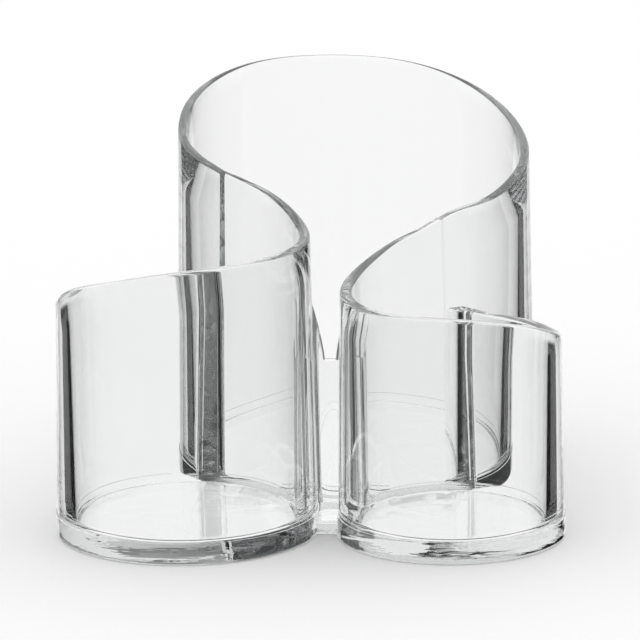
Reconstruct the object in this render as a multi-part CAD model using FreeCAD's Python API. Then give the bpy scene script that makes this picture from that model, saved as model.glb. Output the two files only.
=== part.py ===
import FreeCAD, Part
import math
import os
from dataclasses import dataclass

# Clear three-cup brush holder with spiral rims: a tall wide cup behind, a medium cup front left and
# a small cup front right, fused to each other, with a grooved web that closes the gap in front.
# Millimetres and degrees. +Z is up and +X right; -Y is the front. The origin is the middle of the
# footprint, on the table. Every angle is counted about its own cup's axis, from +X towards +Y.

Vector = FreeCAD.Vector
UP = Vector(0, 0, 1)

# ---- cups: outer wall radii at the table, and how the cups lie against each other ----
LEFT_RADIUS = 38.3
RIGHT_RADIUS = 33.1
BACK_RADIUS = 54.7
FRONT_GAP = 5.9  # between the walls of the two front cups
RIGHT_FORWARD = 7.8  # the right cup stands this far in front of the left one
LEFT_OVERLAP = 9.2  # the back cup bites this far into the left cup
RIGHT_OVERLAP = 8.2  # and this far into the right one

# ---- walls ----
WALL_THICKNESS = 5.4  # at the table; both drafts thin it towards the rim
OUTER_DRAFT = 1.0
INNER_DRAFT = 0.5

# ---- floors and feet ----
FLOOR_THICKNESS = 5.4
FLOOR_FILLET = 3.0  # between a floor and its wall
FOOT_HEIGHT = 6.5  # band around the foot of every cup
FOOT_PROUD = 0.2  # how far the band stands out from the wall
FOOT_ROUND = 1.0  # rounding of the band's bottom edge

# ---- web between the front cups ----
GROOVE_FLARE = 0.6  # the groove's radius less half of the front gap
GROOVE_TOE_ANGLE = 32.0  # from where the groove touches a cup to where the web's skin starts
WEB_THICKNESS = 2.8  # behind the deepest line of the groove
WEB_BASE_THICKNESS = 3.8
WEB_BASE_REACH = 9.7  # from the groove's axis to the front edge of the base plate
WEB_NOTCH_HEIGHT = 49.0
WEB_SHOULDER_HEIGHT = 67.5  # where the notch's edge ends on each cup
# The notch's edge: (share of the groove's radius to one side, share of the climb to the shoulder)
WEB_NOTCH_EDGE = [(0.0, 0.0), (0.3, 0.06), (0.62, 0.32), (1.0, 0.8)]

# ---- rims ----
LEFT_JUNCTION_HEIGHT = 100.3  # where the left cup's rim leaves the back cup's
RIGHT_JUNCTION_HEIGHT = 88.0
PEAK_HEIGHT = 119.5
LEFT_END_HEIGHT = 65.5  # where the left spiral runs into the back cup's outside
RIGHT_END_HEIGHT = 60.3

# Each rim is a smooth curve through a few stations: (angle, height).
BACK_RIM = [
    (-80, RIGHT_JUNCTION_HEIGHT - 1.0), (-57, RIGHT_JUNCTION_HEIGHT), (-43, 90.8), (-30, 93.4),
    (-18, 96.0), (-6, 98.6), (17, 104.6), (38, 110.7), (69, 117.4), (99, PEAK_HEIGHT),
    (127, 119.0), (149, 115.8), (172, 110.2), (184, 106.6), (198, 104.1), (211, 102.0),
    (221, LEFT_JUNCTION_HEIGHT), (240, LEFT_JUNCTION_HEIGHT - 1.0),
]
LEFT_RIM = [
    (104, LEFT_JUNCTION_HEIGHT + 2.0), (74, LEFT_JUNCTION_HEIGHT), (61, 98.0), (50, 96.1),
    (39, 94.0), (27, 91.5), (14, 89.3), (0, 88.1), (-33, 87.0), (-60, 86.3), (-98, 84.4),
    (-127, 80.8), (-150, 76.8), (-162, 73.6), (-172, 70.6), (-186, 67.6), (-211, 64.9),
    (-239, 62.4), (-260, 63.3), (-281, LEFT_END_HEIGHT), (-318, LEFT_END_HEIGHT + 1.0),
]
RIGHT_RIM = [
    (64, RIGHT_JUNCTION_HEIGHT + 2.0), (88, RIGHT_JUNCTION_HEIGHT), (105, 84.7), (117, 82.3),
    (138, 78.0), (158, 74.9), (174, 73.4), (192, 72.4), (230, 71.5), (267, 71.1), (293, 69.5),
    (319, 66.1), (343, 61.9), (356, 59.8), (372, 58.9), (404, 58.8), (425, 59.1),
    (443, RIGHT_END_HEIGHT), (482, RIGHT_END_HEIGHT + 1.0),
]
INSIDE_SWEEP = 75.0  # from a front cup's line to the back cup to past where the two cross
CUTTER_MARGIN = 3.0  # how far a cutting tool reaches past what it cuts


@dataclass(frozen=True)
class Cup:
    """One round cup: where its axis stands and the outer radius of its wall at the table."""

    x: float
    y: float
    radius: float

    @property
    def foot_radius(self):
        return self.radius + FOOT_PROUD

    @property
    def bore_radius(self):
        return self.radius - WALL_THICKNESS

    def outer_at(self, height):
        return self.radius - height * math.tan(math.radians(OUTER_DRAFT))

    def bore_at(self, height):
        return self.bore_radius + height * math.tan(math.radians(INNER_DRAFT))

    def point(self, radius, angle, height):
        turn = math.radians(angle)
        return Vector(self.x + radius * math.cos(turn), self.y + radius * math.sin(turn), height)

    def moved(self, dx, dy):
        return Cup(self.x + dx, self.y + dy, self.radius)


def meet(first, second, first_reach, second_reach, side):
    """The point at the given distances from two centres, on the left (+1) or right (-1) of them."""
    span = math.hypot(second.x - first.x, second.y - first.y)
    along = (first_reach ** 2 - second_reach ** 2 + span ** 2) / (2 * span)
    across = side * math.sqrt(first_reach ** 2 - along ** 2)
    ux = (second.x - first.x) / span
    uy = (second.y - first.y) / span
    return first.x + along * ux - across * uy, first.y + along * uy + across * ux


def placed_cups():
    """The three cups, set out from the left one and then moved so that the footprint is centred."""
    left = Cup(0.0, 0.0, LEFT_RADIUS)
    front_span = LEFT_RADIUS + FRONT_GAP + RIGHT_RADIUS
    right = Cup(math.sqrt(front_span ** 2 - RIGHT_FORWARD ** 2), -RIGHT_FORWARD, RIGHT_RADIUS)
    left_span = LEFT_RADIUS + BACK_RADIUS - LEFT_OVERLAP
    right_span = RIGHT_RADIUS + BACK_RADIUS - RIGHT_OVERLAP
    back = Cup(*meet(left, right, left_span, right_span, 1), BACK_RADIUS)
    cups = (left, right, back)
    low_x = min(cup.x - cup.foot_radius for cup in cups)
    high_x = max(cup.x + cup.foot_radius for cup in cups)
    low_y = min(cup.y - cup.foot_radius for cup in cups)
    high_y = max(cup.y + cup.foot_radius for cup in cups)
    return [cup.moved(-(low_x + high_x) / 2, -(low_y + high_y) / 2) for cup in cups]


LEFT, RIGHT, BACK = placed_cups()
SEAM_HEIGHT = max(FLOOR_THICKNESS + FLOOR_FILLET, FOOT_HEIGHT)  # a base ends and its wall starts
TOOL_HEIGHT = max(height for _, height in BACK_RIM + LEFT_RIM + RIGHT_RIM) + CUTTER_MARGIN
GROOVE_RADIUS = FRONT_GAP / 2 + GROOVE_FLARE
GROOVE_X, GROOVE_Y = meet(LEFT, RIGHT, LEFT.radius + GROOVE_RADIUS, RIGHT.radius + GROOVE_RADIUS, 1)


# ---- helpers ----
def revolved(cup, corners):
    """A solid of revolution about a cup's axis from (radius, height) corners."""
    points = [Vector(cup.x + radius, cup.y, height) for radius, height in corners]
    face = Part.Face(Part.makePolygon(points + points[:1]))
    return face.revolve(Vector(cup.x, cup.y, 0), UP, 360)


def foot_and_wall(cup):
    """The whole outer form of a cup, filled: its foot band with the wall's cone above it."""
    foot = Part.makeCylinder(cup.foot_radius, FOOT_HEIGHT, Vector(cup.x, cup.y, 0))
    bottom_edges = [edge for edge in foot.Edges if edge.BoundBox.ZMax < FOOT_HEIGHT / 2]
    foot = foot.makeFillet(FOOT_ROUND, bottom_edges)
    cone = Part.makeCone(cup.outer_at(FOOT_HEIGHT), cup.outer_at(TOOL_HEIGHT),
                         TOOL_HEIGHT - FOOT_HEIGHT, Vector(cup.x, cup.y, FOOT_HEIGHT))
    return foot.fuse(cone).removeSplitter()


def wall_sleeve(cup):
    """A cup's wall from its seam up, uncut at the top."""
    return revolved(cup, [
        (cup.bore_at(SEAM_HEIGHT), SEAM_HEIGHT), (cup.outer_at(SEAM_HEIGHT), SEAM_HEIGHT),
        (cup.outer_at(TOOL_HEIGHT), TOOL_HEIGHT), (cup.bore_at(TOOL_HEIGHT), TOOL_HEIGHT),
    ])


def bore(cup):
    """The space inside a cup above its floor, with the fillet around the floor."""
    height = TOOL_HEIGHT - FLOOR_THICKNESS
    space = Part.makeCone(cup.bore_at(FLOOR_THICKNESS), cup.bore_at(TOOL_HEIGHT), height,
                          Vector(cup.x, cup.y, FLOOR_THICKNESS))
    floor_edges = [edge for edge in space.Edges if edge.BoundBox.ZMax < SEAM_HEIGHT]
    return space.makeFillet(FLOOR_FILLET, floor_edges)


def rim_curve(cup, radius, stations):
    """A smooth curve through a rim's stations at one radius."""
    curve = Part.BSplineCurve()
    curve.interpolate(Points=[cup.point(radius, angle, height) for angle, height in stations],
                      Parameters=[abs(angle - stations[0][0]) for angle, _ in stations])
    return curve


def above_rim(cup, stations, start, end):
    """The tool that cuts a wall down to its rim between two angles."""
    inner = rim_curve(cup, cup.bore_radius - CUTTER_MARGIN, stations)
    outer = rim_curve(cup, cup.radius + CUTTER_MARGIN, stations)
    first = abs(start - stations[0][0])
    last = abs(end - stations[0][0])
    surface = Part.makeRuledSurface(inner.toShape(first, last), outer.toShape(first, last))
    return surface.extrude(UP * TOOL_HEIGHT)


def largest(shape):
    """The largest solid of a shape."""
    return max(shape.Solids, key=lambda solid: solid.Volume)


def layer(shape, low, high):
    """What a shape holds between two heights."""
    reach = 4 * (LEFT_RADIUS + RIGHT_RADIUS + BACK_RADIUS)
    slab = Part.makeBox(reach, reach, high - low, Vector(-reach / 2, -reach / 2, low))
    return shape.common(slab)


def groove_frame(shape):
    """Moves a shape from the groove's own frame, whose X runs from the left cup to the right."""
    turn = math.degrees(math.atan2(RIGHT.y - LEFT.y, RIGHT.x - LEFT.x))
    shape.rotate(Vector(0, 0, 0), UP, turn)
    shape.translate(Vector(GROOVE_X, GROOVE_Y, 0))
    return shape


# ---- cups ----
LEFT_FORM = foot_and_wall(LEFT)
RIGHT_FORM = foot_and_wall(RIGHT)
BACK_FORM = foot_and_wall(BACK)


def front_cup_wall(cup, stations):
    """A front cup's full wall: the spiral starts inside the back cup and ends against its outside."""
    sleeve = wall_sleeve(cup)
    to_back = math.degrees(math.atan2(BACK.y - cup.y, BACK.x - cup.x))
    inside_end = to_back + math.copysign(INSIDE_SWEEP, stations[-1][0] - stations[0][0])
    inside = sleeve.common(BACK_FORM).cut(above_rim(cup, stations, stations[0][0], inside_end))
    outside = sleeve.cut(BACK_FORM).cut(above_rim(cup, stations, to_back, stations[-1][0]))
    return inside.fuse(outside).removeSplitter()


def behind_front_cups(shape):
    """The part of a back cup's ring that stands clear of the front cups, open towards the web."""
    corners = [Vector(BACK.x, BACK.y, 0), Vector(LEFT.x - LEFT.radius / 2, LEFT.y, 0),
               Vector(RIGHT.x + RIGHT.radius / 2, RIGHT.y, 0)]
    opening = Part.Face(Part.makePolygon(corners + corners[:1])).extrude(UP * TOOL_HEIGHT)
    return largest(shape.cut(LEFT_FORM).cut(RIGHT_FORM).cut(opening))


def back_cup_wall():
    """The back cup's C-shaped wall, from one front cup round to the other."""
    sleeve = wall_sleeve(BACK).cut(above_rim(BACK, BACK_RIM, BACK_RIM[0][0], BACK_RIM[-1][0]))
    return behind_front_cups(sleeve)


def front_cup_base(cup, form):
    """A front cup's floor plate, foot band and the first of its wall, up to the seam."""
    return layer(form, 0, SEAM_HEIGHT).cut(bore(cup))


def back_cup_base():
    """The back cup's floor, which also runs forward to the web, with its band and wall foot."""
    tongue_start = GROOVE_RADIUS + WEB_THICKNESS
    half_width = FRONT_GAP + GROOVE_RADIUS
    tongue = Part.makeBox(2 * half_width, BACK.radius / 2, FLOOR_THICKNESS,
                          Vector(-half_width, tongue_start, 0))
    floor = layer(BACK_FORM, 0, FLOOR_THICKNESS).fuse(groove_frame(tongue))
    band = layer(BACK_FORM, FLOOR_THICKNESS, SEAM_HEIGHT).cut(bore(BACK))
    floor = largest(floor.cut(LEFT_FORM).cut(RIGHT_FORM))
    return floor.fuse(behind_front_cups(band)).removeSplitter()


# ---- web ----
def web_setback():
    """How far the groove's axis lies behind the line between the front cups' axes."""
    span = math.hypot(RIGHT.x - LEFT.x, RIGHT.y - LEFT.y)
    cross = (RIGHT.x - LEFT.x) * (GROOVE_Y - LEFT.y) - (RIGHT.y - LEFT.y) * (GROOVE_X - LEFT.x)
    return cross / span


def toe_point(cup, side, reach):
    """Where the web's front outline enters a cup, past the toe of its skin; side is -1 on the left."""
    tip = math.degrees(math.asin(web_setback() / (cup.radius + GROOVE_RADIUS)))
    angle = math.radians(GROOVE_TOE_ANGLE - tip)
    return Vector(side * reach * math.cos(angle), reach * math.sin(angle), 0)


def web_outline():
    """The web in plan, in the groove's frame: behind the groove and well into both front cups."""
    reach = FRONT_GAP + GROOVE_RADIUS
    back = GROOVE_RADIUS + WEB_THICKNESS
    points = [Vector(0, 0, 0), toe_point(RIGHT, 1, reach), Vector(reach, back, 0),
              Vector(-reach, back, 0), toe_point(LEFT, -1, reach)]
    return Part.Face(Part.makePolygon(points + points[:1]))


def notch_tool():
    """Cuts the web's top to a smooth notch that climbs to a shoulder on each cup."""
    reach = FRONT_GAP + GROOVE_RADIUS
    climb = WEB_SHOULDER_HEIGHT - WEB_NOTCH_HEIGHT
    side = [(share * GROOVE_RADIUS, WEB_NOTCH_HEIGHT + rise * climb) for share, rise in WEB_NOTCH_EDGE]
    side.append((reach, WEB_SHOULDER_HEIGHT))
    edge = [(-x, height) for x, height in reversed(side[1:])] + side
    curve = Part.BSplineCurve()
    curve.interpolate([Vector(x, -reach, height) for x, height in edge])
    lid = [Vector(reach, -reach, WEB_SHOULDER_HEIGHT), Vector(reach, -reach, TOOL_HEIGHT),
           Vector(-reach, -reach, TOOL_HEIGHT), Vector(-reach, -reach, WEB_SHOULDER_HEIGHT)]
    wire = Part.Wire([curve.toShape()] + Part.makePolygon(lid).Edges)
    return Part.Face(wire).extrude(Vector(0, 2 * reach, 0))


def groove():
    """The round groove in the web's front; it opens upward by the same draft as the cups."""
    top_radius = GROOVE_RADIUS + TOOL_HEIGHT * math.tan(math.radians(OUTER_DRAFT))
    return Part.makeCone(GROOVE_RADIUS, top_radius, TOOL_HEIGHT)


def front_web_wall():
    """The web's standing wall: a skin behind the groove, notched at the top."""
    block = web_outline().extrude(UP * (TOOL_HEIGHT - WEB_BASE_THICKNESS))
    block.translate(UP * WEB_BASE_THICKNESS)
    web = groove_frame(block.cut(groove()).cut(notch_tool()))
    return largest(web.cut(LEFT_FORM).cut(RIGHT_FORM))


def front_web_base():
    """The low plate between the foot bands, from its rounded front edge to the back cup's floor."""
    half_width = FRONT_GAP + GROOVE_RADIUS
    depth = WEB_BASE_REACH + GROOVE_RADIUS + WEB_THICKNESS
    plate = Part.makeBox(2 * half_width, depth, WEB_BASE_THICKNESS,
                         Vector(-half_width, -WEB_BASE_REACH, 0))
    front_edges = [edge for edge in plate.Edges
                   if edge.BoundBox.YMax < 0 and edge.BoundBox.XLength > half_width]
    plate = groove_frame(plate.makeFillet(FOOT_ROUND, front_edges))
    return largest(plate.cut(LEFT_FORM).cut(RIGHT_FORM))


PIECES = {
    "left_cup_base": lambda: front_cup_base(LEFT, LEFT_FORM),
    "right_cup_base": lambda: front_cup_base(RIGHT, RIGHT_FORM),
    "back_cup_base": back_cup_base,
    "front_web_base": front_web_base,
    "left_cup_wall": lambda: front_cup_wall(LEFT, LEFT_RIM),
    "right_cup_wall": lambda: front_cup_wall(RIGHT, RIGHT_RIM),
    "back_cup_wall": back_cup_wall,
    "front_web_wall": front_web_wall,
}

os.makedirs("parts", exist_ok=True)
for name, make in PIECES.items():
    solid = make()
    solid.exportStep(f"parts/{name}.step")
    print(name, len(solid.Solids), "solid", solid.isValid(), round(solid.Volume), "mm3")
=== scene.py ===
"""Dresses the clear three-cup brush holder: one polished clear moulding with spiral rims."""

import logging
import math
from collections.abc import Callable, Iterable, Mapping
from dataclasses import dataclass
from enum import Enum

import bmesh
import bpy
import numpy as np
from mathutils import Matrix, Vector

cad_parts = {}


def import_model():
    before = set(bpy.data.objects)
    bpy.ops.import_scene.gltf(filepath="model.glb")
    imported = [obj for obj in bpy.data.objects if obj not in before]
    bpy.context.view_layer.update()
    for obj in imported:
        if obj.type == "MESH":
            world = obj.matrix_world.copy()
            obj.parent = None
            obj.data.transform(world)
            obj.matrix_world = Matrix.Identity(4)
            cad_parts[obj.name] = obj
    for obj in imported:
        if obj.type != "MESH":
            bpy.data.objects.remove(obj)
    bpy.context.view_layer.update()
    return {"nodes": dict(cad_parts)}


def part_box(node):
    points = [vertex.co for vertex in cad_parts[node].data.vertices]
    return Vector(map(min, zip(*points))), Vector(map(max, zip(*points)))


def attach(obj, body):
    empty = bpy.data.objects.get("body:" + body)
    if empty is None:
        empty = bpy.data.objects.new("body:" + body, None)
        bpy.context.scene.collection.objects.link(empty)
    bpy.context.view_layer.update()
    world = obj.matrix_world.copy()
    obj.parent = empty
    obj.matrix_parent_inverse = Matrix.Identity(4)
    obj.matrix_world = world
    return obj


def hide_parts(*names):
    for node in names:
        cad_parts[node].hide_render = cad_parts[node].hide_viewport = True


log = logging.getLogger("brush_holder")
MM = 0.001
FULL_TURN = 2 * math.pi
LIGHT_BOUNCES = 64  # light that is trapped in the plastic turns back many times
CREASE_ANGLE = math.radians(28)  # edges sharper than this keep a crease
WHITE = (1.0, 1.0, 1.0, 1.0)
PlanPoints = Callable[[int, np.ndarray], np.ndarray]


class Side(Enum):
    """Which side of the line from a front cup to the next cup a crossing lies on."""

    LEFT = 1
    RIGHT = -1


class Face(Enum):
    """The faces of the wall: the ribbon has the first two, and its low ends run to the third."""

    CUP = "towards the front cups' bores, and the back cup's outside"
    COMPARTMENT = "the front cups' outside, and the back cup's bore"
    OUTSIDE = "the outside of both cups"


class Stretch(Enum):
    """The stretches of the wall ribbon, from a low end towards the back cup."""

    PLUNGE = "the very end, sunk in the back cup's wall"
    TAIL = "the low end's own width"
    RING = "round a front cup"
    APPROACH = "from a front cup to its junction with the back cup"
    LEAVE = "from the junction on to the back cup"
    BACK = "round the back cup"


@dataclass(frozen=True)
class Moulding:
    """The moulding's own sizes, in millimetres and degrees."""

    wall: float = 5.4
    outer_draft: float = 1.0
    inner_draft: float = 0.5
    wall_foot: float = 2.0  # how high inside the plates the walls start
    foot_proud: float = 0.2
    foot_height: float = 6.5
    foot_round: float = 1.0
    floor: float = 5.4
    floor_round: float = 2.2  # between a floor and its wall
    rim_round: float = 1.0
    corner_fillet: float = 1.5
    left_corner_height: float = 65.0
    right_corner_height: float = 59.8
    groove_flare: float = 0.6
    web: float = 2.8
    web_base: float = 3.8
    web_reach: float = 9.7
    notch: float = 49.0
    shoulder: float = 67.5


MOULDING = Moulding()

# The rim runs as one curve from the left cup's low end, round the back cup, to the right cup's
# low end. Each station is (angle about that cup's axis in degrees, height in millimetres).
RIM_STATIONS = {
    "left": (
        (-300, 65.9), (-281, 65.5), (-260, 63.3), (-239, 62.4), (-211, 64.9), (-186, 67.6),
        (-172, 70.6), (-162, 73.6), (-150, 76.8), (-127, 80.8), (-98, 84.4), (-60, 86.3),
        (-33, 87.0), (0, 88.1), (14, 89.3), (27, 91.5), (39, 94.0), (50, 96.1), (61, 98.0),
    ),
    "back": (
        (221, 100.3), (211, 102.0), (198, 104.1), (184, 106.6), (172, 110.2), (149, 115.8),
        (127, 119.0), (99, 119.5), (69, 117.4), (38, 110.7), (17, 104.6), (-6, 98.6), (-18, 96.0),
        (-30, 93.4), (-43, 90.8),
    ),
    "right": (
        (88, 88.0), (105, 84.7), (117, 82.3), (138, 78.0), (158, 74.9), (174, 73.4), (192, 72.4),
        (230, 71.5), (267, 71.1), (293, 69.5), (319, 66.1), (343, 61.9), (356, 59.8), (372, 58.9),
        (404, 58.8), (425, 59.1), (443, 60.3), (460, 60.8),
    ),
}


@dataclass(frozen=True)
class Cup:
    """One round cup, in millimetres: its axis and its wall's outer radius at the table."""

    name: str
    x: float
    y: float
    radius: float

    @classmethod
    def from_frame(cls, name: str) -> "Cup":
        """Reads a cup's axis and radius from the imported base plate.

        Args:
            name: the cup's name: left, right or back.

        Returns:
            The cup.
        """
        low, high = (np.array(corner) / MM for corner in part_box(f"{name}_cup_base"))
        radius = (high[0] - low[0]) / 2 - MOULDING.foot_proud
        return cls(name, (low[0] + high[0]) / 2, high[1] - radius - MOULDING.foot_proud, radius)

    def outer(self, z: np.ndarray | float) -> np.ndarray | float:
        """The outer wall's radius at a height."""
        return self.radius - z * math.tan(math.radians(MOULDING.outer_draft))

    def bore(self, z: np.ndarray | float) -> np.ndarray | float:
        """The inner wall's radius at a height."""
        return self.radius - MOULDING.wall + z * math.tan(math.radians(MOULDING.inner_draft))

    def at(self, radius: np.ndarray, angle: np.ndarray) -> np.ndarray:
        """Plan points at a radius and an angle in radians."""
        return np.stack([self.x + radius * np.cos(angle), self.y + radius * np.sin(angle)], -1)

    def angle_of(self, point: np.ndarray, near: float) -> np.ndarray:
        """A point's angle about the axis, in the turn nearest to a given angle (radians)."""
        angle = np.arctan2(point[..., 1] - self.y, point[..., 0] - self.x)
        return angle + FULL_TURN * np.round((near - angle) / FULL_TURN)

    def place(self, mesh: bpy.types.Mesh, z: float = 0.0) -> None:
        """Moves a mesh made about the origin to the cup's axis, at a height in millimetres."""
        mesh.transform(Matrix.Translation((self.x * MM, self.y * MM, z * MM)))


@dataclass(frozen=True)
class Cups:
    """The three cups that the walls run round."""

    left: Cup
    right: Cup
    back: Cup

    @classmethod
    def from_frame(cls) -> "Cups":
        """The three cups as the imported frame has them."""
        return cls(*(Cup.from_frame(name) for name in ("left", "right", "back")))

    def all(self) -> tuple[Cup, Cup, Cup]:
        """The cups in their building order."""
        return self.left, self.right, self.back


def crossing(first: Cup, second: Cup, first_radius: np.ndarray | float,
             second_radius: np.ndarray | float, side: Side) -> np.ndarray:
    """Finds where two circles about two cups' axes cross.

    Args:
        first: the cup that the line between the axes starts from.
        second: the cup that it ends at.
        first_radius: the circle's radius about the first cup.
        second_radius: the circle's radius about the second cup.
        side: the side of that line.

    Returns:
        Plan points, one for each radius.
    """
    dx, dy = second.x - first.x, second.y - first.y
    span = math.hypot(dx, dy)
    along = (first_radius ** 2 - second_radius ** 2 + span ** 2) / (2 * span)
    across = side.value * np.sqrt(first_radius ** 2 - along ** 2)
    x = first.x + along * dx / span - across * dy / span
    y = first.y + along * dy / span + across * dx / span
    return np.stack([x, y], -1)


def smooth_through(knots: Iterable[float], values: Iterable[float], at: np.ndarray) -> np.ndarray:
    """Runs a natural cubic spline through given values.

    Args:
        knots: where the values stand, in rising order.
        values: the values there.
        at: where the spline is wanted.

    Returns:
        The spline's value at each place.
    """
    knots, values = np.asarray(knots, float), np.asarray(values, float)
    gap = np.diff(knots)
    slope = np.diff(values) / gap
    size = len(knots)
    system = np.eye(size)
    right = np.zeros(size)
    for row in range(1, size - 1):
        system[row, row - 1:row + 2] = gap[row - 1], 2 * (gap[row - 1] + gap[row]), gap[row]
        right[row] = 6 * (slope[row] - slope[row - 1])
    bend = np.linalg.solve(system, right)
    span = np.clip(np.searchsorted(knots, at) - 1, 0, size - 2)
    step = at - knots[span]
    rest = gap[span] - step
    return ((bend[span] * rest ** 3 + bend[span + 1] * step ** 3) / (6 * gap[span])
            + (values[span] / gap[span] - bend[span] * gap[span] / 6) * rest
            + (values[span + 1] / gap[span] - bend[span + 1] * gap[span] / 6) * step)


def face_outward(mesh: bpy.types.Mesh) -> bpy.types.Mesh:
    """Turns a closed mesh's normals outward.

    Args:
        mesh: the closed mesh, changed in place.

    Returns:
        The same mesh.
    """
    work = bmesh.new()
    work.from_mesh(mesh)
    bmesh.ops.recalc_face_normals(work, faces=work.faces)
    work.to_mesh(mesh)
    work.free()
    return mesh


def mesh_of(name: str, points: np.ndarray, faces: Iterable[Iterable[int]],
            edges: Iterable[tuple[int, int]] = ()) -> bpy.types.Mesh:
    """Makes a mesh from points in millimetres.

    Args:
        name: the mesh's name.
        points: one row for each point.
        faces: the corners of each face.
        edges: the edges that belong to no face.

    Returns:
        The mesh, in metres.
    """
    mesh = bpy.data.meshes.new(name)
    corners = [tuple(int(corner) for corner in face) for face in faces]
    mesh.from_pydata((np.asarray(points) * MM).tolist(), list(edges), corners)
    return mesh


def rounded(edge: float, level: float, radius: float, steps: int) -> list[tuple[float, float]]:
    """Rounds the corner of a section, between a level face and an upright one.

    Args:
        edge: how far out the upright face stands.
        level: the level face's height.
        radius: the rounding, below 0 where both faces look the other way.
        steps: how many points it has.

    Returns:
        Reach and height of each point, from the level face to the upright one.
    """
    return [(edge - radius * (1 - math.sin(turn)), level + radius * (1 - math.cos(turn)))
            for turn in np.linspace(0, math.pi / 2, steps)]


def in_scene(name: str, data: bpy.types.ID) -> bpy.types.Object:
    """Adds an object to the scene, at the origin.

    Args:
        name: its name.
        data: its mesh or camera.

    Returns:
        The object.
    """
    thing = bpy.data.objects.new(name, data)
    bpy.context.scene.collection.objects.link(thing)
    return thing


def evaluated(holder: bpy.types.Object) -> bpy.types.Mesh:
    """An object's mesh with its modifiers worked out."""
    return bpy.data.meshes.new_from_object(
        holder.evaluated_get(bpy.context.evaluated_depsgraph_get()))


@dataclass
class Strip:
    """A wall laid out in columns: two faces in plan at every column, and a rim height each."""

    near: PlanPoints  # gives the plan points of the first face, from a column and heights
    far: PlanPoints  # the same for the second face
    heights: np.ndarray  # the rim's height at each column
    rounding: float  # the radius of the rim's two edges
    foot: float = MOULDING.wall_foot  # the height at which the strip starts
    rows: int = 12  # how many points stand one above another on each face
    row_bias: float = 1.5  # above 1, the rows are closer together near the foot
    arc: int = 5  # how many steps round each edge of the rim
    most_round: float = 0.47  # the largest rounding, as a share of the wall's thickness

    def outline(self, column: int) -> np.ndarray:
        """Lays out the wall's closed section at one column.

        Args:
            column: the column's number.

        Returns:
            3-D points, up the first face, over the rim and down the second.
        """
        height = float(self.heights[column])
        top = np.array([height])
        width = np.linalg.norm(self.far(column, top)[0] - self.near(column, top)[0])
        radius = min(self.rounding, self.most_round * width)
        shares = np.linspace(0, 1, self.rows) ** self.row_bias
        z = self.foot + (height - radius - self.foot) * shares
        near, far = self.near(column, z), self.far(column, z)
        across = (far[-1] - near[-1]) / np.linalg.norm(far[-1] - near[-1])
        turn = np.linspace(0, math.pi / 2, self.arc + 1)[1:]
        inset = radius * (1 - np.cos(turn))
        rise = z[-1] + radius * np.sin(turn)
        near_arc = np.column_stack([near[-1] + inset[:, None] * across, rise])
        far_arc = np.column_stack([far[-1] - inset[:, None] * across, rise])
        return np.vstack([np.column_stack([near, z]), near_arc, far_arc[::-1],
                          np.column_stack([far, z])[::-1]])

    def mesh(self, name: str) -> bpy.types.Mesh:
        """Joins the columns into one closed mesh.

        Args:
            name: the mesh's name.

        Returns:
            The mesh.
        """
        outlines = [self.outline(column) for column in range(len(self.heights))]
        count, ring = len(outlines), len(outlines[0])
        index = np.arange(count * ring).reshape(count, ring)
        faces = [(here[k], here[(k + 1) % ring], ahead[(k + 1) % ring], ahead[k])
                 for here, ahead in zip(index, index[1:]) for k in range(ring)]
        faces += [index[0][::-1], index[-1]]
        return face_outward(mesh_of(name, np.vstack(outlines), faces))


@dataclass(frozen=True)
class Column:
    """One column of the wall ribbon."""

    stretch: Stretch  # the stretch that it belongs to
    cup: Cup  # the cup that it stands on, or whose junction it is near
    side: Side  # the junction's side, seen from the front cup
    angle: float  # its own angle, or the one where the plain part of its cup ends, in radians
    share: float = 0.0  # from 0 at the plain part of its cup to 1 where the walls meet


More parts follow.
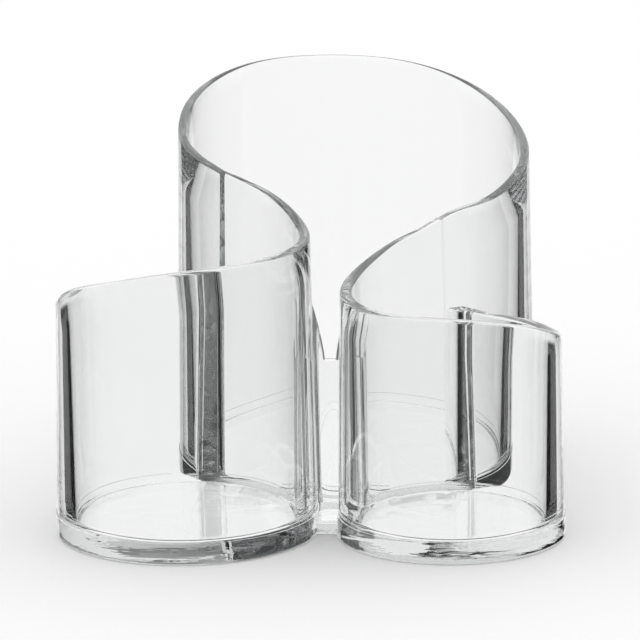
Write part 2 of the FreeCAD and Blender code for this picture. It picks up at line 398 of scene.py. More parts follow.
@dataclass
class Ribbon:
    """The wall: one ribbon from the left cup's low end, round the back cup, to the right's.

    Angles are in radians and lengths in millimetres.
    """

    cups: Cups  # the three cups
    step: float = math.radians(0.75)  # the angle between plain columns
    fine: int = 44  # how many columns span each side of a junction, its ends included
    tail_columns: int = 24  # how many columns a low end's width has
    tail: float = 1.4  # how far a low end runs into the back cup's wall
    lift: float = 0.04  # how far a low end's inner face leaves the bore before it gets there
    low_turn: float = math.radians(312)  # where a low end starts, from the line to the back cup
    high_turn: float = math.radians(13)  # where the plain ring ends, from the same line
    back_start: float = math.radians(192)  # where the left junction's columns end on the back cup
    back_end: float = math.radians(-30)  # where the right junction's columns begin there
    level: float = 80.0  # the height at which the ribbon's length is measured

    def __post_init__(self) -> None:
        """Lays the columns out once the sizes are known."""
        self.columns = self.layout()

    def front_columns(self, cup: Cup, side: Side) -> list[Column]:
        """Lays out a front cup's columns, from the plunge of its low end to its junction.

        Args:
            cup: the cup.
            side: the junction's side.

        Returns:
            The columns in order.
        """
        turn = math.atan2(self.cups.back.y - cup.y, self.cups.back.x - cup.x)
        low_end = turn - side.value * self.low_turn
        high_end = turn - side.value * self.high_turn
        plain = np.arange(0, 1, self.step / abs(high_end - low_end))
        columns = [Column(Stretch.PLUNGE, cup, side, low_end, 1.0)]
        columns += [Column(Stretch.TAIL, cup, side, low_end, share)
                    for share in np.linspace(1, 0, self.tail_columns)[:-1]]
        columns += [Column(Stretch.RING, cup, side, low_end + share * (high_end - low_end))
                    for share in plain]
        return columns + [Column(Stretch.APPROACH, cup, side, high_end, share)
                          for share in np.linspace(0, 1, self.fine)]

    def layout(self) -> list[Column]:
        """Lays out every column of the ribbon.

        Returns:
            The columns in order, from the left low end to the right one.
        """
        left, right, back = self.cups.all()
        count = int((self.back_start - self.back_end) / self.step)
        shares = np.linspace(0, 1, self.fine)[1:-1]
        middle = [Column(Stretch.LEAVE, left, Side.LEFT, self.back_start, share)
                  for share in shares[::-1]]
        middle += [Column(Stretch.BACK, back, Side.LEFT, angle)
                   for angle in np.linspace(self.back_start, self.back_end, count)]
        middle += [Column(Stretch.LEAVE, right, Side.RIGHT, self.back_end, share)
                   for share in shares]
        return (self.front_columns(left, Side.LEFT) + middle
                + self.front_columns(right, Side.RIGHT)[::-1])

    def junction(self, column: Column, face: Face, z: np.ndarray) -> np.ndarray:
        """Finds a junction's line between a front cup and the back cup.

        Args:
            column: a column near the junction.
            face: the pair of faces that meet there.
            z: the heights.

        Returns:
            Plan points, one for each height.
        """
        cup, back = column.cup, self.cups.back
        first = cup.bore(z) if face is Face.CUP else cup.outer(z)
        second = back.bore(z) if face is Face.COMPARTMENT else back.outer(z)
        return crossing(cup, back, first, second, column.side)

    def low_end(self, column: Column, z: np.ndarray, face: Face) -> np.ndarray:
        """Lays out a low end, which abuts the back cup's outside.

        Args:
            column: a column of the tail or the plunge.
            z: the heights.
            face: the ribbon's face.

        Returns:
            Plan points, one for each height.
        """
        cup, inner = column.cup, face is Face.CUP
        goal = self.junction(column, Face.CUP if inner else Face.OUTSIDE, z)
        meet = cup.angle_of(goal, column.angle)
        radius = cup.bore(z) + self.lift * column.share if inner else cup.outer(z)
        points = cup.at(radius, column.angle + column.share * (meet - column.angle))
        if column.stretch is Stretch.TAIL:
            return points
        inward = np.array([self.cups.back.x, self.cups.back.y]) - points
        return points + self.tail * inward / np.linalg.norm(inward, axis=-1, keepdims=True)

    def plan(self, number: int, z: np.ndarray, face: Face) -> np.ndarray:
        """Lays out one face of the ribbon at one column.

        Args:
            number: the column's number.
            z: the heights.
            face: the face, CUP or COMPARTMENT.

        Returns:
            Plan points, one for each height.
        """
        column = self.columns[number]
        if column.stretch in (Stretch.TAIL, Stretch.PLUNGE):
            return self.low_end(column, z, face)
        behind = column.stretch in (Stretch.BACK, Stretch.LEAVE)
        cup = self.cups.back if behind else column.cup
        radius = cup.outer(z) if behind is (face is Face.CUP) else cup.bore(z)
        if column.stretch in (Stretch.BACK, Stretch.RING):
            return cup.at(radius, np.full_like(z, column.angle))
        meet = cup.angle_of(self.junction(column, face, z), column.angle)
        return cup.at(radius, column.angle + column.share * (meet - column.angle))

    def heights(self) -> np.ndarray:
        """Runs the rim smoothly through its stations.

        Returns:
            The rim's height at each column.
        """
        level = np.array([self.level])
        middle = np.array([(self.plan(number, level, Face.CUP)[0]
                            + self.plan(number, level, Face.COMPARTMENT)[0]) / 2
                           for number in range(len(self.columns))])
        run = np.concatenate([[0], np.cumsum(np.linalg.norm(np.diff(middle, axis=0), axis=1))])
        owners = np.array(["back" if column.stretch is Stretch.LEAVE else column.cup.name
                           for column in self.columns])
        knots, rim = [], []
        for name, stations in RIM_STATIONS.items():
            cup, own = getattr(self.cups, name), owners == name
            angles = np.unwrap(np.arctan2(middle[own, 1] - cup.y, middle[own, 0] - cup.x))
            for degrees, height in stations:
                wanted = math.radians(degrees)
                there = angles + FULL_TURN * round((wanted - angles.mean()) / FULL_TURN)
                order = np.argsort(there)
                knots.append(np.interp(wanted, there[order], run[own][order]))
                rim.append(height)
        return smooth_through(knots, rim, run)

    def mesh(self) -> bpy.types.Mesh:
        """The ribbon as a mesh; its two low ends still pass through its own wall."""
        return Strip(lambda number, z: self.plan(number, z, Face.CUP),
                     lambda number, z: self.plan(number, z, Face.COMPARTMENT),
                     self.heights(), MOULDING.rim_round).mesh("wall_ribbon")


@dataclass
class Web:
    """The low wall that closes the gap between the front cups, with a round groove in front."""

    cups: Cups  # the three cups
    corner: float = 1.2  # the fillet radius in the compartment's corners, in millimetres
    bite: float = 0.04  # how deep the groove's edges cut into the cups' walls
    tail: float = 1.2  # how far the web runs into the cups' walls
    corner_share: float = 0.3  # the part of the back that each corner fillet takes
    level_share: float = 0.31  # the half width of the notch's level bottom, over the groove's
    shoulder_rise: float = 0.75  # below 1, the notch's sides are steeper near its bottom
    columns: int = 61  # how many columns the web has between its tails
    floor_length: float = 30.0  # how far back the web's floor runs
    edge_steps: int = 7  # how many points round the front edge of its base plate

    def __post_init__(self) -> None:
        """Works out the groove's axis and its own plan directions."""
        left, right = self.cups.left, self.cups.right
        span = math.hypot(right.x - left.x, right.y - left.y)
        self.gap = span - left.radius - right.radius
        self.radius = self.gap / 2 + MOULDING.groove_flare
        self.axis = crossing(left, right, left.radius + self.radius, right.radius + self.radius,
                             Side.LEFT)
        self.across = np.array([right.x - left.x, right.y - left.y]) / span
        self.inward = np.array([-self.across[1], self.across[0]])

    def local(self, cup: Cup) -> np.ndarray:
        """A cup's axis in the groove's own directions."""
        offset = np.array([cup.x, cup.y]) - self.axis
        return np.array([offset @ self.across, offset @ self.inward])

    def world(self, x: np.ndarray | float, y: np.ndarray | float) -> np.ndarray:
        """Plan points from the groove's own directions."""
        return self.axis + np.multiply.outer(x, self.across) + np.multiply.outer(y, self.inward)

    def front(self, share: float, z: np.ndarray, sink: float) -> np.ndarray:
        """Lays out the groove.

        Args:
            share: the share of the way from the left cup to the right.
            z: the heights.
            sink: how much deeper than its bite the point sits.

        Returns:
            Plan points, one for each height.
        """
        left, right = self.local(self.cups.left), self.local(self.cups.right)
        start = math.atan2(left[1], left[0]) % FULL_TURN
        end = math.atan2(right[1], right[0])
        angle = start + share * (end - start)
        draft = z * math.tan(math.radians(MOULDING.outer_draft))
        radius = self.radius + draft + self.bite + sink
        return self.world(radius * math.cos(angle), radius * math.sin(angle))

    def corner_axis(self, cup: Cup, z: np.ndarray) -> tuple[np.ndarray, float, np.ndarray]:
        """Finds the axis of a corner fillet in the compartment.

        Args:
            cup: the cup that the fillet touches.
            z: the heights.

        Returns:
            The fillet's x and y there, and the angle from it to the cup's axis.
        """
        place = self.local(cup)
        y = self.radius + MOULDING.web + self.corner
        reach = cup.outer(z) + self.corner
        x = place[0] - np.sign(place[0]) * np.sqrt(reach ** 2 - (y - place[1]) ** 2)
        return x, y, np.arctan2(place[1] - y, place[0] - x)

    def back(self, share: float, z: np.ndarray, sink: float) -> np.ndarray:
        """Lays out the web's back: a fillet at each end and a plane between them.

        Args:
            share: the share of the way from the left cup to the right.
            z: the heights.
            sink: how much deeper than its bite the point sits.

        Returns:
            Plan points, one for each height.
        """
        left_x, y, left_angle = self.corner_axis(self.cups.left, z)
        right_x, _, right_angle = self.corner_axis(self.cups.right, z)
        radius = self.corner + self.bite + sink
        if share < self.corner_share:
            start, centre = left_angle % FULL_TURN, left_x
            angle = start + share / self.corner_share * (1.5 * math.pi - start)
        elif share > 1 - self.corner_share:
            start, centre = right_angle, right_x
            angle = start + (1 - share) / self.corner_share * (-0.5 * math.pi - start)
        else:
            along = (share - self.corner_share) / (1 - 2 * self.corner_share)
            return self.world(left_x + along * (right_x - left_x),
                              np.full_like(z, y - self.corner - self.bite))
        return self.world(centre + radius * np.cos(angle), y + radius * np.sin(angle))

    def mesh(self) -> bpy.types.Mesh:
        """Builds the web's wall, whose rim dips between its shoulders.

        Returns:
            The closed mesh.
        """
        shares = np.concatenate([[0], np.linspace(0, 1, self.columns), [1]])
        sinks = np.zeros(len(shares))
        sinks[[0, -1]] = self.tail
        off_centre = np.sin(0.5 * math.pi * np.abs(2 * shares - 1))
        rise = np.clip((off_centre - self.level_share) / (1 - self.level_share), 0, 1)
        climb = MOULDING.shoulder - MOULDING.notch
        heights = MOULDING.notch + climb * rise ** self.shoulder_rise
        return Strip(lambda number, z: self.front(shares[number], z, sinks[number]),
                     lambda number, z: self.back(shares[number], z, sinks[number]),
                     heights, MOULDING.rim_round).mesh("web_wall")

    def base_mesh(self) -> bpy.types.Mesh:
        """Builds the low plate in front of the web and the floor that runs back from it.

        Returns:
            The closed mesh.
        """
        half = self.gap / 2 + self.radius
        reach, front, floor = -MOULDING.web_reach, MOULDING.web_base, MOULDING.floor
        step = self.radius + 0.5 * MOULDING.web
        edge = rounded(reach, front, -MOULDING.foot_round, self.edge_steps)[::-1]
        section = [(reach, 0.0), *edge, (step, front), (step, floor), (self.floor_length, floor),
                   (self.floor_length, 0.0)]
        points = [(*self.world(side, y), z) for side in (-half, half) for y, z in section]
        count = len(section)
        faces = [(k, (k + 1) % count, count + (k + 1) % count, count + k) for k in range(count)]
        faces += [range(count), range(2 * count - 1, count - 1, -1)]
        return face_outward(mesh_of("web_base", np.array(points), faces))


@dataclass
class CornerFillet:
    """The small fillet outside, where a front cup's low end meets the back cup."""

    cup: Cup  # the front cup
    back: Cup  # the back cup
    side: Side  # the side of the line between them
    height: float  # where the fillet ends, in millimetres
    bite: float = 0.03  # how deep its edges cut into the cups' walls
    depth: float = 1.3  # how thick the column behind its face is
    columns: int = 17  # how many columns its face has
    rounding: float = 0.6  # the rounding of its top

    def plan(self, share: float, z: np.ndarray, sink: float) -> np.ndarray:
        """Lays out the fillet between the two cups.

        Args:
            share: the share of the way from the front cup to the back cup.
            z: the heights.
            sink: how far behind the fillet's face the point sits.

        Returns:
            Plan points, one for each height.
        """
        radius = MOULDING.corner_fillet
        axis = crossing(self.cup, self.back, self.cup.outer(z) + radius,
                        self.back.outer(z) + radius, self.side)
        start = np.arctan2(self.cup.y - axis[..., 1], self.cup.x - axis[..., 0])
        end = np.arctan2(self.back.y - axis[..., 1], self.back.x - axis[..., 0])
        turn = (end - start + math.pi) % FULL_TURN - math.pi
        angle = start + share * turn
        reach = radius + self.bite + sink
        return axis + reach * np.stack([np.cos(angle), np.sin(angle)], -1)

    def mesh(self) -> bpy.types.Mesh:
        """Builds the fillet as a closed column.

        Returns:
            The closed mesh.
        """
        shares = np.linspace(0, 1, self.columns)
        return Strip(lambda number, z: self.plan(shares[number], z, 0.0),
                     lambda number, z: self.plan(shares[number], z, self.depth),
                     np.full(len(shares), self.height), self.rounding).mesh("corner_fillet")


class Nodes:
    """One node tree, and the way to add nodes to it."""

    def __init__(self, tree: bpy.types.NodeTree) -> None:
        """Keeps the tree."""
        self.tree = tree

    def fill(self, node: bpy.types.Node | str, inputs: Mapping[str | int, object]) -> None:
        """Links fields and sockets to a node's inputs, and sets plain values on them.

        Args:
            node: the node, or the name of one that the tree starts with.
            inputs: fields, output sockets or plain values, by the input's name or number.
        """
        node = self.tree.nodes[node] if isinstance(node, str) else node
        for key, value in inputs.items():
            value = value.socket if isinstance(value, Field) else value
            if isinstance(value, bpy.types.NodeSocket):
                self.tree.links.new(value, node.inputs[key])
            else:
                node.inputs[key].default_value = value

    def add(self, kind: str, settings: Mapping[str, object] | None = None,
            inputs: Mapping[str | int, object] | None = None) -> bpy.types.Node:
        """Adds one node, sets it up and then fills its inputs.

        Args:
            kind: the node's type.
            settings: its properties, such as a maths operation.
            inputs: what fill takes.

        Returns:
            The node.
        """
        node = self.tree.nodes.new(kind)
        for name, value in (settings or {}).items():
            setattr(node, name, value)
        self.fill(node, inputs or {})
        return node

    def field(self, kind: str, output: str | int = 0, settings: Mapping[str, object] | None = None,
              inputs: Mapping[str | int, object] | None = None) -> "Field":
        """Adds one node, as add does, and wraps the output that is wanted."""
        return Field(self, self.add(kind, settings, inputs).outputs[output])

    def maths(self, operation: str, *values: object, clamp: bool = False) -> "Field":
        """Adds one maths node over fields and numbers."""
        settings = {"operation": operation, "use_clamp": clamp}
        return self.field("ShaderNodeMath", 0, settings, dict(enumerate(values)))


@dataclass(frozen=True)
class Field:
    """A number in a node tree: arithmetic on it adds the maths nodes that work it out."""

    nodes: Nodes
    socket: bpy.types.NodeSocket

    def __add__(self, other: "Field | float") -> "Field":
        """The sum."""
        return self.nodes.maths("ADD", self, other)

    def __sub__(self, other: "Field | float") -> "Field":
        """The difference."""
        return self.nodes.maths("SUBTRACT", self, other)

    def __rsub__(self, other: float) -> "Field":
        """A number less this field."""
        return self.nodes.maths("SUBTRACT", other, self)

    def __mul__(self, other: "Field | float") -> "Field":
        """The product."""
        return self.nodes.maths("MULTIPLY", self, other)

    def __truediv__(self, other: "Field | float") -> "Field":
        """The quotient."""
        return self.nodes.maths("DIVIDE", self, other)

    def __rtruediv__(self, other: float) -> "Field":
        """A number over this field."""
        return self.nodes.maths("DIVIDE", other, self)

    __radd__ = __add__
    __rmul__ = __mul__

    def ramp(self, low: float, high: float) -> "Field":
        """Makes a smooth step between two values of this field.

        Args:
            low: where the step is 0.
            high: where it is 1; it may be below low.

        Returns:
            The step.
        """
        rising = low < high
        return self.nodes.field("ShaderNodeMapRange", 0, {"interpolation_type": "SMOOTHSTEP"}, {
            "Value": self, "From Min": min(low, high), "From Max": max(low, high),
            "To Min": 0.0 if rising else 1.0, "To Max": 1.0 if rising else 0.0})

    def band(self, low: float, high: float, soft: float) -> "Field":
        """A mask that is 1 between two values and fades over a soft edge at both."""
        return self.ramp(low - soft, low + soft) * self.ramp(high + soft, high - soft)


class Lathe:
    """A Geometry Nodes group that turns a profile about the Z axis into a closed solid."""

    WELD = 1e-6  # metres: joins the seam and the points on the axis

    def __init__(self) -> None:
        """Builds the group, with its segments and its material as named inputs."""
        self.tree = bpy.data.node_groups.new("lathe", "GeometryNodeTree")
        face = self.tree.interface
        kinds = {"Geometry": "Geometry", "Segments": "Int", "Material": "Material"}
        self.inputs = {
            name: face.new_socket(name, in_out="INPUT", socket_type=f"NodeSocket{kind}").identifier
            for name, kind in kinds.items()}
        face.new_socket("Geometry", in_out="OUTPUT", socket_type="NodeSocketGeometry")
        self.wire(Nodes(self.tree))

    def wire(self, nodes: Nodes) -> None:
        """Lays a grid out as the profile's points by the segments, and bends it round the axis.

        Args:
            nodes: the group's nodes.
        """
        given = nodes.add("NodeGroupInput").outputs
        profile, segments = given["Geometry"], Field(nodes, given["Segments"])
        count = nodes.field("GeometryNodeAttributeDomainSize", "Point Count",
                            inputs={"Geometry": profile})
        grid = nodes.add("GeometryNodeMeshGrid",
                         inputs={"Vertices X": segments + 1, "Vertices Y": count})
        index = nodes.field("GeometryNodeInputIndex")
        column = nodes.maths("FLOOR", (index + 0.5) / count)
        turn = column / segments * FULL_TURN
        point = nodes.add("GeometryNodeSampleIndex", {"data_type": "FLOAT_VECTOR"}, {
            "Geometry": profile, "Value": nodes.field("GeometryNodeInputPosition"),
            "Index": nodes.maths("MODULO", index, count)})
        split = nodes.add("ShaderNodeSeparateXYZ", inputs={0: point.outputs[0]}).outputs
        radius, height = Field(nodes, split["X"]), split["Z"]
        place = nodes.field("ShaderNodeCombineXYZ", inputs={
            "X": radius * nodes.maths("COSINE", turn), "Y": radius * nodes.maths("SINE", turn),
            "Z": height})
        bent = nodes.field("GeometryNodeSetPosition",
                           inputs={"Geometry": grid.outputs["Mesh"], "Position": place})
        welded = nodes.field("GeometryNodeMergeByDistance",
                             inputs={"Geometry": bent, "Distance": self.WELD})
        real = nodes.field("GeometryNodeRealizeInstances", inputs={0: welded})
        dressed = nodes.field("GeometryNodeSetMaterial",
                              inputs={"Geometry": real, "Material": given["Material"]})
        nodes.add("NodeGroupOutput", inputs={0: dressed})

    def turn(self, name: str, profile: np.ndarray, segments: int,
             material: bpy.types.Material) -> bpy.types.Mesh:
        """Turns one profile.

        Args:
            name: the mesh's name.
            profile: radius and height of each point, in millimetres.
            segments: how many steps go round.
            material: the finish.

        Returns:
            The solid, about the origin.
        """
        points = np.column_stack([profile[:, 0], np.zeros(len(profile)), profile[:, 1]])
        edges = [(k, k + 1) for k in range(len(points) - 1)]
        holder = in_scene(name, mesh_of(name, points, (), edges))
        modifier = holder.modifiers.new("lathe", "NODES")
        modifier.node_group = self.tree
        modifier[self.inputs["Segments"]] = segments
        modifier[self.inputs["Material"]] = material
        mesh = evaluated(holder)
        bpy.data.objects.remove(holder)
        return mesh


@dataclass
class BasePlate:
    """A cup's base plate: foot band, rim of the dish, rounded floor edge and floor."""

    cup: Cup  # the cup that it closes
    bite: float = 0.03  # how far the floor's edge runs into the wall, in millimetres
    segments: int = 480  # how many steps go round it
    foot_steps: int = 8  # how many points round the foot's lower edge
    floor_steps: int = 9  # how many points round the floor's edge

    def profile(self) -> np.ndarray:
        """Draws the plate's half section.

        Returns:
            Radius and height of each point, from the axis at the table round to the floor.
        """
        foot, rounding = self.cup.radius + MOULDING.foot_proud, MOULDING.foot_round
        middle = self.cup.radius - 0.5 * MOULDING.wall
        floor, hollow = MOULDING.floor, MOULDING.floor_round
        edge = self.cup.bore(floor + hollow)
        return np.array([
            (0.0, 0.0), *rounded(foot, 0.0, rounding, self.foot_steps),
            (foot, MOULDING.foot_height), (middle, MOULDING.foot_height),
            (middle, floor + hollow), (edge + self.bite, floor + hollow),
            *rounded(edge, floor, hollow, self.floor_steps)[::-1], (0.0, floor)])

    def mesh(self, lathe: Lathe, material: bpy.types.Material) -> bpy.types.Mesh:
        """Turns the plate and moves it to the cup's axis.

        Args:
            lathe: the lathe group.
            material: the finish.

        Returns:
            The closed mesh.
        """
        mesh = lathe.turn(f"{self.cup.name}_plate", self.profile(), self.segments, material)
        self.cup.place(mesh)
        return face_outward(mesh)

    def clearance(self, inside: float = 2.0, low: float = -1.0,
                  high: float = 20.0) -> bpy.types.Mesh:
        """Makes a plain drum that cuts a neighbour's plate away from this cup.

        Args:
            inside: how far inside the cup's outer wall the drum stays, in millimetres.
            low: its bottom.
            high: its top.

        Returns:
            The closed mesh.
        """
        radius = (self.cup.radius - inside) * MM
        work = bmesh.new()
        bmesh.ops.create_cone(work, cap_ends=True, segments=self.segments, radius1=radius,
                              radius2=radius, depth=(high - low) * MM)
        mesh = bpy.data.meshes.new(f"{self.cup.name}_clearance")
        work.to_mesh(mesh)
        work.free()
        self.cup.place(mesh, (low + high) / 2)
        return mesh


class Cut(Enum):
    """How closed meshes are put together."""

    JOIN_THROUGH_ITSELF = ("UNION", "EXACT")
    JOIN = ("UNION", "MANIFOLD")
    TAKE_AWAY = ("DIFFERENCE", "MANIFOLD")


def combine(first: bpy.types.Mesh, others: Iterable[bpy.types.Mesh], cut: Cut) -> bpy.types.Mesh:
    """Joins or cuts closed meshes.

    Args:
        first: the mesh that is worked on.
        others: the meshes joined to it or taken from it.
        cut: how.

    Returns:
        The result.
    """
    target = in_scene("target", first)
    tools = [in_scene("tool", other) for other in others]
    for tool in tools:
        modifier = target.modifiers.new("step", "BOOLEAN")
        modifier.object = tool
        modifier.operation, modifier.solver = cut.value
        modifier.use_self = cut is Cut.JOIN_THROUGH_ITSELF
    mesh = evaluated(target)
    for thing in [target, *tools]:
        bpy.data.objects.remove(thing)
    return mesh


def new_material(name: str) -> tuple[bpy.types.Material, Nodes]:
    """Makes a material that starts with the Principled shader.

    Args:
        name: its name.

    Returns:
        The material and its nodes.
    """
    material = bpy.data.materials.new(name)
    material.use_nodes = True
    return material, Nodes(material.node_tree)


@dataclass(frozen=True)
class ClearPlastic:
    """Polished clear plastic: a trace of grey in the thick, and faint waves in its faces."""

    tint: tuple[float, ...] = (0.995, 0.997, 0.997, 1.0)  # what the surface lets through
    ior: float = 1.49  # the refractive index
    depth_colour: tuple[float, ...] = (0.48, 0.5, 0.5, 1.0)  # what its thick lets through
    depth_density: float = 5.0  # how strongly, for each metre
    wave_scale: float = 110.0  # how close the waves are, in waves to a metre
    wave_detail: float = 2.0  # how many finer layers of waves ride on them
    wave_depth: float = 0.00004  # their depth near the foot, in metres
    wall_share: float = 0.1  # the share of that depth on the polished walls
    foot_top: float = 0.010  # where the deep waves have faded out, in metres
    foot_full: float = 0.006  # the height below which they are deep

    def material(self) -> bpy.types.Material:
        """Builds the finish.

        Returns:
            The material.
        """
        material, nodes = new_material("clear_plastic")
        nodes.fill("Principled BSDF", {
            "Base Color": self.tint, "Transmission Weight": 1.0, "IOR": self.ior,
            "Roughness": 0.0, "Normal": self.waves(nodes)})
        inside = nodes.field("ShaderNodeVolumeAbsorption", inputs={
            "Color": self.depth_colour, "Density": self.depth_density})
        nodes.fill("Material Output", {"Volume": inside})
        return material

    def waves(self, nodes: Nodes) -> Field:
        """Adds the faint waves that a moulded face has, deeper at the foot than on the walls.

        Args:
            nodes: the material's nodes.

        Returns:
            The normal.
        """
        where = nodes.add("ShaderNodeTexCoord").outputs["Object"]
        height = nodes.field("ShaderNodeSeparateXYZ", "Z", inputs={0: where})
        depth = height.ramp(self.foot_top, self.foot_full) * (1 - self.wall_share)
        noise = nodes.field("ShaderNodeTexNoise", inputs={
            "Vector": where, "Scale": self.wave_scale, "Detail": self.wave_detail})
        waves = (noise - 0.5) * (depth + self.wall_share)
        return nodes.field("ShaderNodeBump",
                           inputs={"Distance": self.wave_depth, "Height": waves})


@dataclass
class Body:
    """The whole moulding: ribbon, web, base plates and corner fillets as one clear piece."""

    cups: Cups
    finish: ClearPlastic = ClearPlastic()

    def mesh(self, material: bpy.types.Material) -> bpy.types.Mesh:
        """Builds the moulding.

        Args:
            material: the finish.

        Returns:
            One closed mesh.
        """
        left, right, back = self.cups.all()
        lathe, web = Lathe(), Web(self.cups)
        corners = [CornerFillet(left, back, Side.LEFT, MOULDING.left_corner_height).mesh(),
                   CornerFillet(right, back, Side.RIGHT, MOULDING.right_corner_height).mesh()]
        walls = combine(Ribbon(self.cups).mesh(), corners[:1], Cut.JOIN_THROUGH_ITSELF)
        front_plates = [BasePlate(left), BasePlate(right)]
        back_plate = combine(BasePlate(back).mesh(lathe, material),
                             [plate.clearance() for plate in front_plates], Cut.TAKE_AWAY)
        plates = [plate.mesh(lathe, material) for plate in front_plates]
        parts = corners[1:] + plates + [back_plate, web.base_mesh(), web.mesh()]
        mesh = combine(walls, parts, Cut.JOIN)
        mesh.name = "moulding"
        return mesh

    def build(self) -> bpy.types.Object:
        """Puts the moulding in the scene in place of the CAD's walls and plates.

        Returns:
            The moulding.
        """
        material = self.finish.material()
        mesh = self.mesh(material)
        mesh.polygons.foreach_set("use_smooth", np.ones(len(mesh.polygons), bool))
        mesh.set_sharp_from_angle(angle=CREASE_ANGLE)
        mesh.materials.clear()
        mesh.materials.append(material)
        body = in_scene("moulding", mesh)
        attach(body, "root")
        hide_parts(*[f"{cup.name}_cup_{kind}" for cup in self.cups.all()
                            for kind in ("wall", "base")], "front_web_wall", "front_web_base")
        return body


@dataclass(frozen=True)
class LongLens:
    """The camera: a long lens, slightly above, aimed over the left cup's foot."""

    distance: float = 1375.9  # from the left cup's axis at the table, in millimetres
    foreshortening: float = 0.272  # a level circle's depth over its width, as the camera sees it
    focal_pixels: float = 4695.0  # the focal length, in pixels of the frame
    frame_pixels: float = 640.0  # the frame's width
    sensor: float = 36.0  # the sensor's width, in millimetres
    below_middle: float = 207.6  # pixels from the frame's middle down to the left cup's axis
    beside: float = 39.35  # how far right of that axis the camera stands, in millimetres
    roll: float = 0.0125  # the camera's roll, in radians
    reach: float = 20.0  # how far it sees, in metres

    def build(self, aim: Cup) -> bpy.types.Object:
        """Adds the camera to the scene.

        Args:
            aim: the left cup.

        Returns:
            The camera.
        """
        elevation = math.asin(self.foreshortening)
        pitch = elevation - math.atan(self.below_middle / self.focal_pixels)
        data = bpy.data.cameras.new("camera")
        data.sensor_width = self.sensor
        data.lens = self.sensor * self.focal_pixels / self.frame_pixels
        data.clip_end = self.reach
        camera = in_scene("camera", data)
        bpy.context.scene.camera = camera
        ahead = Vector((0, math.cos(pitch), -math.sin(pitch)))
        up = Vector((0, math.sin(pitch), math.cos(pitch)))
        side = Vector((1, 0, 0))
        right = math.cos(self.roll) * side - math.sin(self.roll) * up
        top = math.sin(self.roll) * side + math.cos(self.roll) * up
        turn = Matrix((right, top, -ahead)).transposed().to_4x4()
        place = Vector((aim.x + self.beside, aim.y - self.distance * math.cos(elevation),
                        self.distance * math.sin(elevation)))
        camera.matrix_world = Matrix.Translation(place * MM) @ turn
        return camera


@dataclass(frozen=True)
class Studio:
    """The white surround, and the darker room that only reflected light shows.

    Directions are in degrees: azimuth from straight behind the moulding, the same to both
    sides, and elevation above the table. Brightness is 1 for white.
    """

    card_start: float = 26.0  # where the dark cards at each side start
    card_end: float = 95.0  # where they end
    card_low: float = -28.0  # their lower edge
    card_high: float = 0.0  # their upper edge
    card_tone: float = 0.01  # their brightness
    side_soft: float = 0.7  # how soft their upright edges are
    level_soft: float = 2.0  # how soft their level edges are
    front_start: float = 75.0  # where the room in front begins to darken
    front_full: float = 110.0  # where it is as dark as it gets
    front_grey: float = 20.0  # the elevation up to which it is that dark
    front_top: float = 50.0  # the elevation above which it is white again
    front_tone: float = 0.35  # its brightness
    low_tone: float = 0.4  # how much darker still it is below the table's level
    low_soft: float = 3.0  # how softly it darkens there

    def room(self, nodes: Nodes) -> Field:
        """Works out the room's brightness by direction.

        Args:
            nodes: the world's nodes.

        Returns:
            The brightness.
        """
        direction = nodes.add("ShaderNodeTexCoord").outputs["Generated"]
        split = nodes.add("ShaderNodeSeparateXYZ", inputs={0: direction}).outputs
        degrees = math.degrees(1)
        turn = nodes.maths("ARCTAN2", split["X"], split["Y"])
        azimuth = nodes.maths("ABSOLUTE", turn) * degrees
        elevation = nodes.maths("ARCSINE", split["Z"]) * degrees
        cards = (azimuth.band(self.card_start, self.card_end, self.side_soft)
                 * elevation.band(self.card_low, self.card_high, self.level_soft))
        ahead = azimuth.ramp(self.front_start, self.front_full)
        front = ahead * elevation.ramp(self.front_top, self.front_grey)
        low = ahead * elevation.ramp(self.low_soft, -self.low_soft)
        return ((1 - cards * (1 - self.card_tone)) * (1 - front * (1 - self.front_tone))
                * (1 - low * (1 - self.low_tone)))

    def build(self) -> bpy.types.World:
        """Adds the surround; what is seen straight or through the plastic is white.

        Returns:
            The world.
        """
        world = bpy.data.worlds.new("studio")
        bpy.context.scene.world = world
        world.use_nodes = True
        nodes = Nodes(world.node_tree)
        reflections = nodes.field("ShaderNodeLightPath", "Glossy Depth")
        reflected = nodes.maths("MINIMUM", reflections, 1.0)
        strength = 1 - reflected * (1 - self.room(nodes))
        nodes.fill("Background", {"Color": WHITE, "Strength": strength})
        return world


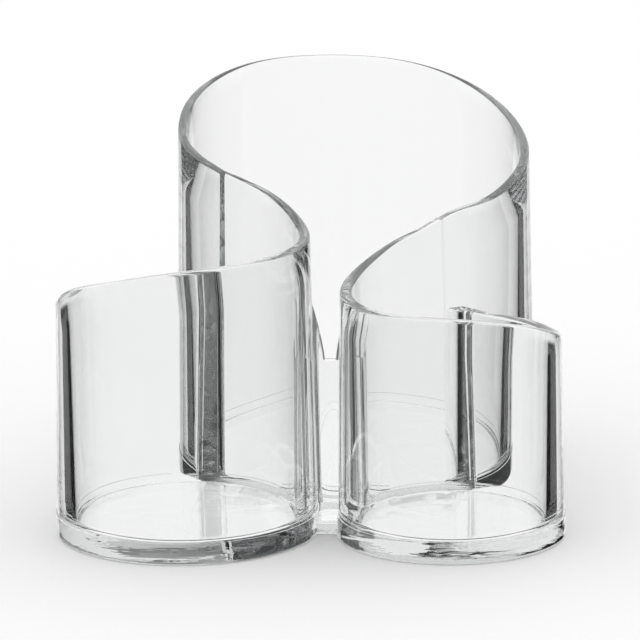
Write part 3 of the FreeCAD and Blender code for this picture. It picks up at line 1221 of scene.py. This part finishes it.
@dataclass(frozen=True)
class Floor:
    """A white floor that keeps the moulding's shadow; the clear plastic looks through it."""

    half: float = 6000.0  # half its width, in millimetres
    drop: float = 0.2  # how far under the moulding's feet it lies
    tone: float = 0.9  # its colour's brightness
    glow: float = 0.1  # what the camera sees on top of the light that falls on it

    def material(self) -> bpy.types.Material:
        """Builds the finish.

        Returns:
            The material.
        """
        material, nodes = new_material("floor")
        path = nodes.add("ShaderNodeLightPath").outputs
        nodes.fill("Principled BSDF", {
            "Base Color": (self.tone, self.tone, self.tone, 1.0), "Roughness": 1.0,
            "Specular IOR Level": 0.0, "Emission Color": WHITE,
            "Emission Strength": Field(nodes, path["Is Camera Ray"]) * self.glow})
        through = nodes.maths("ADD", path["Is Glossy Ray"], path["Is Transmission Ray"],
                              clamp=True)
        white = nodes.tree.nodes["Principled BSDF"].outputs[0]
        clear = nodes.field("ShaderNodeBsdfTransparent")
        mix = nodes.field("ShaderNodeMixShader", inputs={"Fac": through, 1: white, 2: clear})
        nodes.fill("Material Output", {"Surface": mix})
        return material

    def build(self) -> bpy.types.Object:
        """Adds the floor to the scene.

        Returns:
            The floor.
        """
        signs = ((-1, -1), (1, -1), (1, 1), (-1, 1))
        corners = [(x * self.half, y * self.half, -self.drop) for x, y in signs]
        mesh = mesh_of("floor", corners, [range(4)])
        mesh.materials.append(self.material())
        floor = in_scene("floor", mesh)
        return floor


def main() -> None:
    """Builds the moulding and its studio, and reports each."""
    logging.basicConfig(level=logging.INFO)
    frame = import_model()
    cups = Cups.from_frame()
    body = Body(cups).build()
    log.info("%s: %d faces for %d CAD nodes", body.name, len(body.data.polygons),
             len(frame["nodes"]))
    camera = LongLens().build(cups.left)
    log.info("%s: %.0f mm lens", camera.name, camera.data.lens)
    for stage in (Floor(), Studio()):
        log.info("%s: in place", stage.build().name)
    scene = bpy.context.scene
    scene.view_settings.view_transform = "Standard"
    for kind in ("max", "transmission", "glossy"):
        setattr(scene.cycles, f"{kind}_bounces", LIGHT_BOUNCES)


if __name__ == "__main__":
    main()
